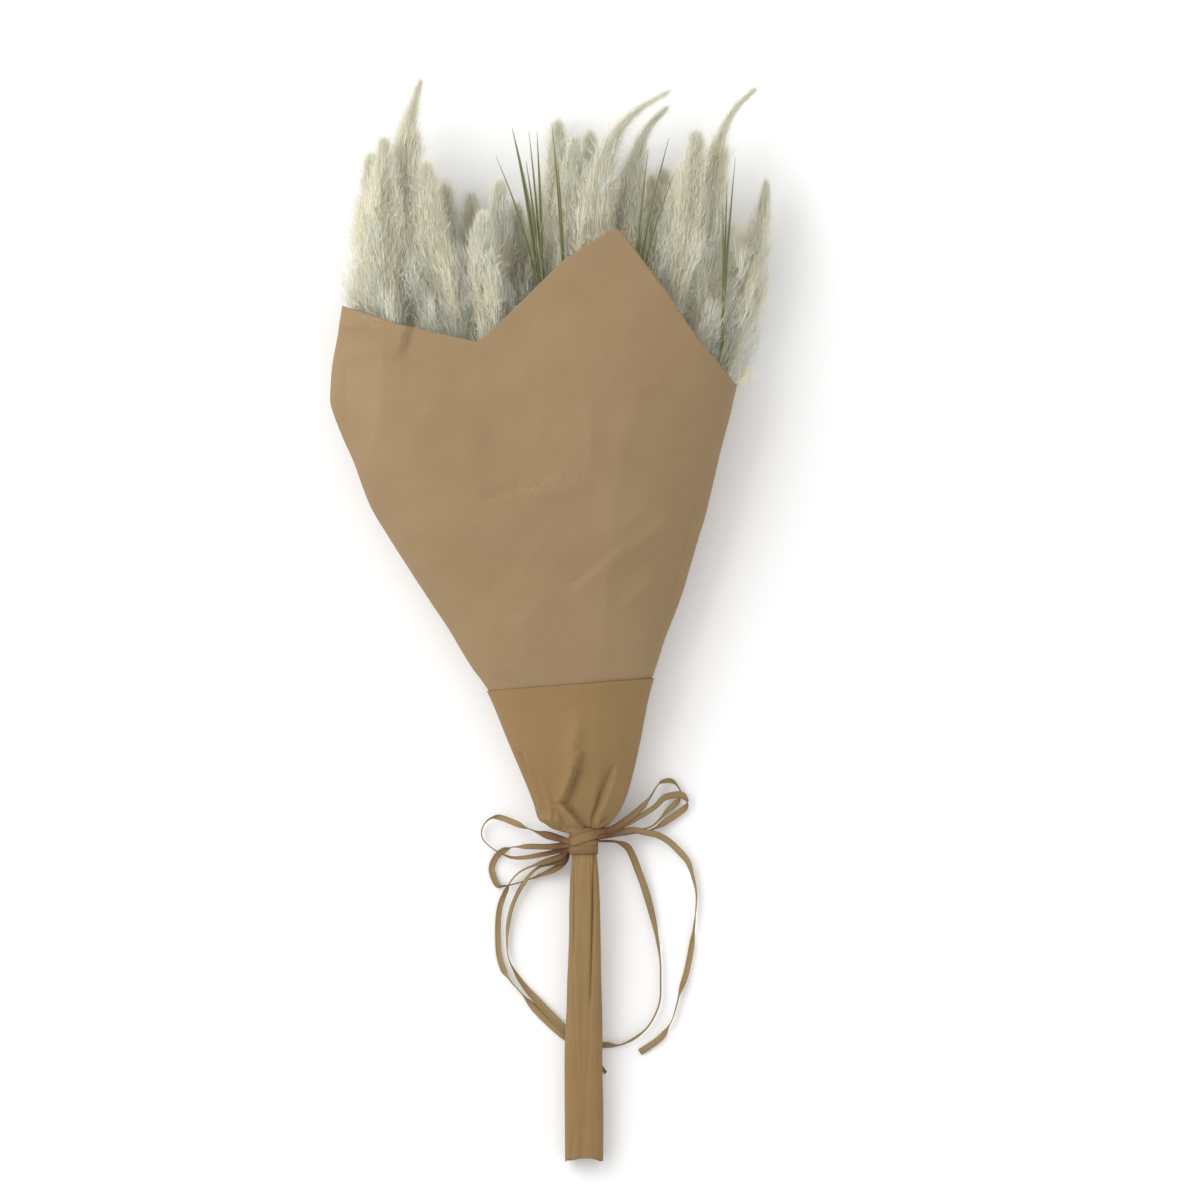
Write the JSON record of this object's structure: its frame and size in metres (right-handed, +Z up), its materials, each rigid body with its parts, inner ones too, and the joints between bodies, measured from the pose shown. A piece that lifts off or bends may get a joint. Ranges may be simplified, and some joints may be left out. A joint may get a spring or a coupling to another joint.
{
  "type": "wrapped bunch of dried pampas grass",
  "caption": "Dried pampas grass plumes with thin green grass blades, in a kraft paper cone and stem sleeve tied at the neck with a raffia bow, lying on its back.",
  "frame": {"origin": "middle of the underside: centre of the bounding box in X and Y, on the surface the bunch lies on", "axes": "+Y from the cut stems to the plume tips, +Z up from the surface, +X to the right seen from above with the tips away"},
  "size_m": [0.3056, 0.7486, 0.0952],
  "materials": {
    "pampas": "soft dry hair, matte",
    "grass": "dry blade, matte",
    "kraft_sheet": "matte, finely ribbed",
    "kraft_sleeve": "matte, creased",
    "raffia": "dry leaf ribbon, slight sheen"
  },
  "bodies": {
    "root": {"plume_stalk_01": "pampas", "plume_stalk_02": "pampas", "plume_stalk_03": "pampas", "plume_stalk_04": "pampas", "plume_stalk_05": "pampas", "plume_stalk_06": "pampas", "plume_stalk_07": "pampas", "plume_stalk_08": "pampas", "plume_stalk_09": "pampas", "plume_stalk_10": "pampas", "plume_stalk_11": "pampas", "plume_stalk_12": "pampas", "plume_stalk_13": "pampas", "plume_stalk_14": "pampas", "plume_stalk_15": "pampas", "plume_stalk_16": "pampas", "plume_stalk_17": "pampas", "plume_stalk_18": "pampas", "plume_stalk_19": "pampas", "grass_sprig_1": "grass", "grass_sprig_2": "grass", "grass_sprig_3": "grass", "grass_sprig_4": "grass", "upper_wrap_sheet": "kraft_sheet", "stem_sleeve": "kraft_sleeve", "raffia_knot": "raffia", "raffia_loop_left_1": "raffia", "raffia_loop_left_2": "raffia", "raffia_loop_right_1": "raffia", "raffia_loop_right_2": "raffia", "raffia_long_loop": "raffia", "raffia_tail_left": "raffia", "raffia_tail_right": "raffia"}
  },
  "joints": []
}
